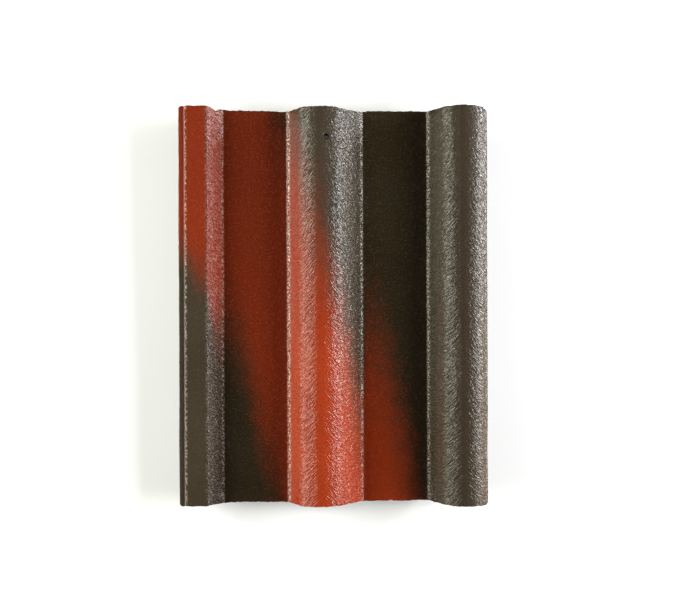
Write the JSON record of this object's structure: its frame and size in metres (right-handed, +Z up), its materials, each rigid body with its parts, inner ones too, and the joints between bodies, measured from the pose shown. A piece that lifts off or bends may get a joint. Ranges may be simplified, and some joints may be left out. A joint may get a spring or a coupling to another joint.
{
  "type": "roof tile",
  "caption": "Interlocking concrete roof tile with rolls and flat pans, side lap edges, a nail hole, batten nibs and tail bars; glossy mottled red and charcoal face.",
  "frame": {"origin": "centre of the bounding box's base, on the floor the tile lies on", "axes": "+Y from the tail to the head (the nail hole end), +X from the underlock edge to the overlock roll, +Z up; the tile's own plane is 1.25 degrees off level because it lies on its nibs and tail bars"},
  "size_m": [0.328, 0.4228, 0.0591],
  "materials": {
    "coated_concrete": "cast concrete with a glossy sprayed coating on the water face, red blown over charcoal, bare grey below"
  },
  "bodies": {
    "root": {"roof_tile": "coated_concrete"}
  },
  "joints": []
}
